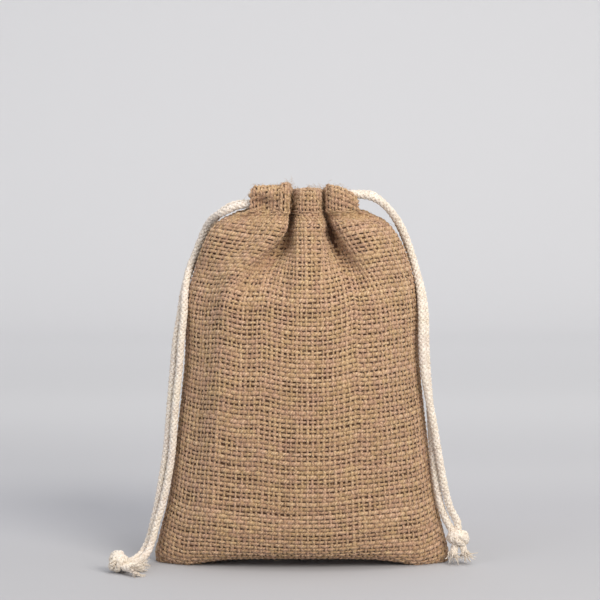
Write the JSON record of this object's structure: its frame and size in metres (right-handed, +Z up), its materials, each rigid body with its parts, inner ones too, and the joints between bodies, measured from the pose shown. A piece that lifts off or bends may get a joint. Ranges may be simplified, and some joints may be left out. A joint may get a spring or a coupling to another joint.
{
  "type": "drawstring gift pouch",
  "caption": "Small woven jute pouch, filled and standing, gathered at the neck by two drawcords that run in hem channels and end in knotted tails.",
  "frame": {"origin": "on the surface it stands on, under the middle of the pouch", "axes": "+Z up, +X along the width to the right as seen from the front, front panel towards -Y"},
  "size_m": [0.1868, 0.0806, 0.1934],
  "materials": {
    "jute": "coarse plain-woven jute, matt and slubby",
    "thread": "spun sewing thread in the colour of the cloth",
    "cotton": "soft unbleached cotton cord, matt"
  },
  "bodies": {
    "root": {"front_panel": "jute", "back_panel": "jute", "left_side_seam": "jute", "right_side_seam": "jute", "bottom_seam": "jute", "left_seam_thread": "thread", "right_seam_thread": "thread", "bottom_seam_thread": "thread", "left_cord_turn": "cotton", "right_cord_turn": "cotton"},
    "mouth_front": {"front_channel": "jute", "front_channel_thread": "thread", "left_cord_front_run": "cotton", "right_cord_front_run": "cotton"},
    "mouth_back": {"back_channel": "jute", "back_channel_thread": "thread", "left_cord_back_run": "cotton", "right_cord_back_run": "cotton"},
    "left_pull": {"left_cord_front_stub": "cotton", "left_cord_back_stub": "cotton"},
    "right_pull": {"right_cord_front_stub": "cotton", "right_cord_back_stub": "cotton"},
    "left_tail": {"left_tail_front": "cotton", "left_tail_back": "cotton", "left_knot": "cotton", "left_front_end": "cotton", "left_back_end": "cotton"},
    "right_tail": {"right_tail_front": "cotton", "right_tail_back": "cotton", "right_knot": "cotton", "right_front_end": "cotton", "right_back_end": "cotton"}
  },
  "joints": [
    {"name": "mouth_front_hinge", "type": "hinge", "parent": "root", "child": "mouth_front", "pos_m": [0, -0.014, 0.178], "axis": [1, 0, 0], "range_deg": [-3.5, 11]},
    {"name": "mouth_back_hinge", "type": "hinge", "parent": "root", "child": "mouth_back", "pos_m": [0, 0.014, 0.178], "axis": [-1, 0, 0], "range_deg": [-3.5, 11]},
    {"name": "left_cord_pull", "type": "slide", "parent": "root", "child": "left_pull", "axis": [-1, 0, 0], "range_m": [0, 0.015]},
    {"name": "right_cord_pull", "type": "slide", "parent": "root", "child": "right_pull", "axis": [1, 0, 0], "range_m": [0, 0.015]},
    {"name": "left_tail_swing", "type": "hinge", "parent": "left_pull", "child": "left_tail", "pos_m": [-0.031, 0, 0.1833], "axis": [0, 1, 0], "range_deg": [0, 75]},
    {"name": "right_tail_swing", "type": "hinge", "parent": "right_pull", "child": "right_tail", "pos_m": [0.031, 0, 0.1883], "axis": [0, -1, 0], "range_deg": [0, 75]}
  ],
  "couplings": [
    {"joint": "mouth_back_hinge", "follows": "mouth_front_hinge", "ratio": 1}
  ]
}
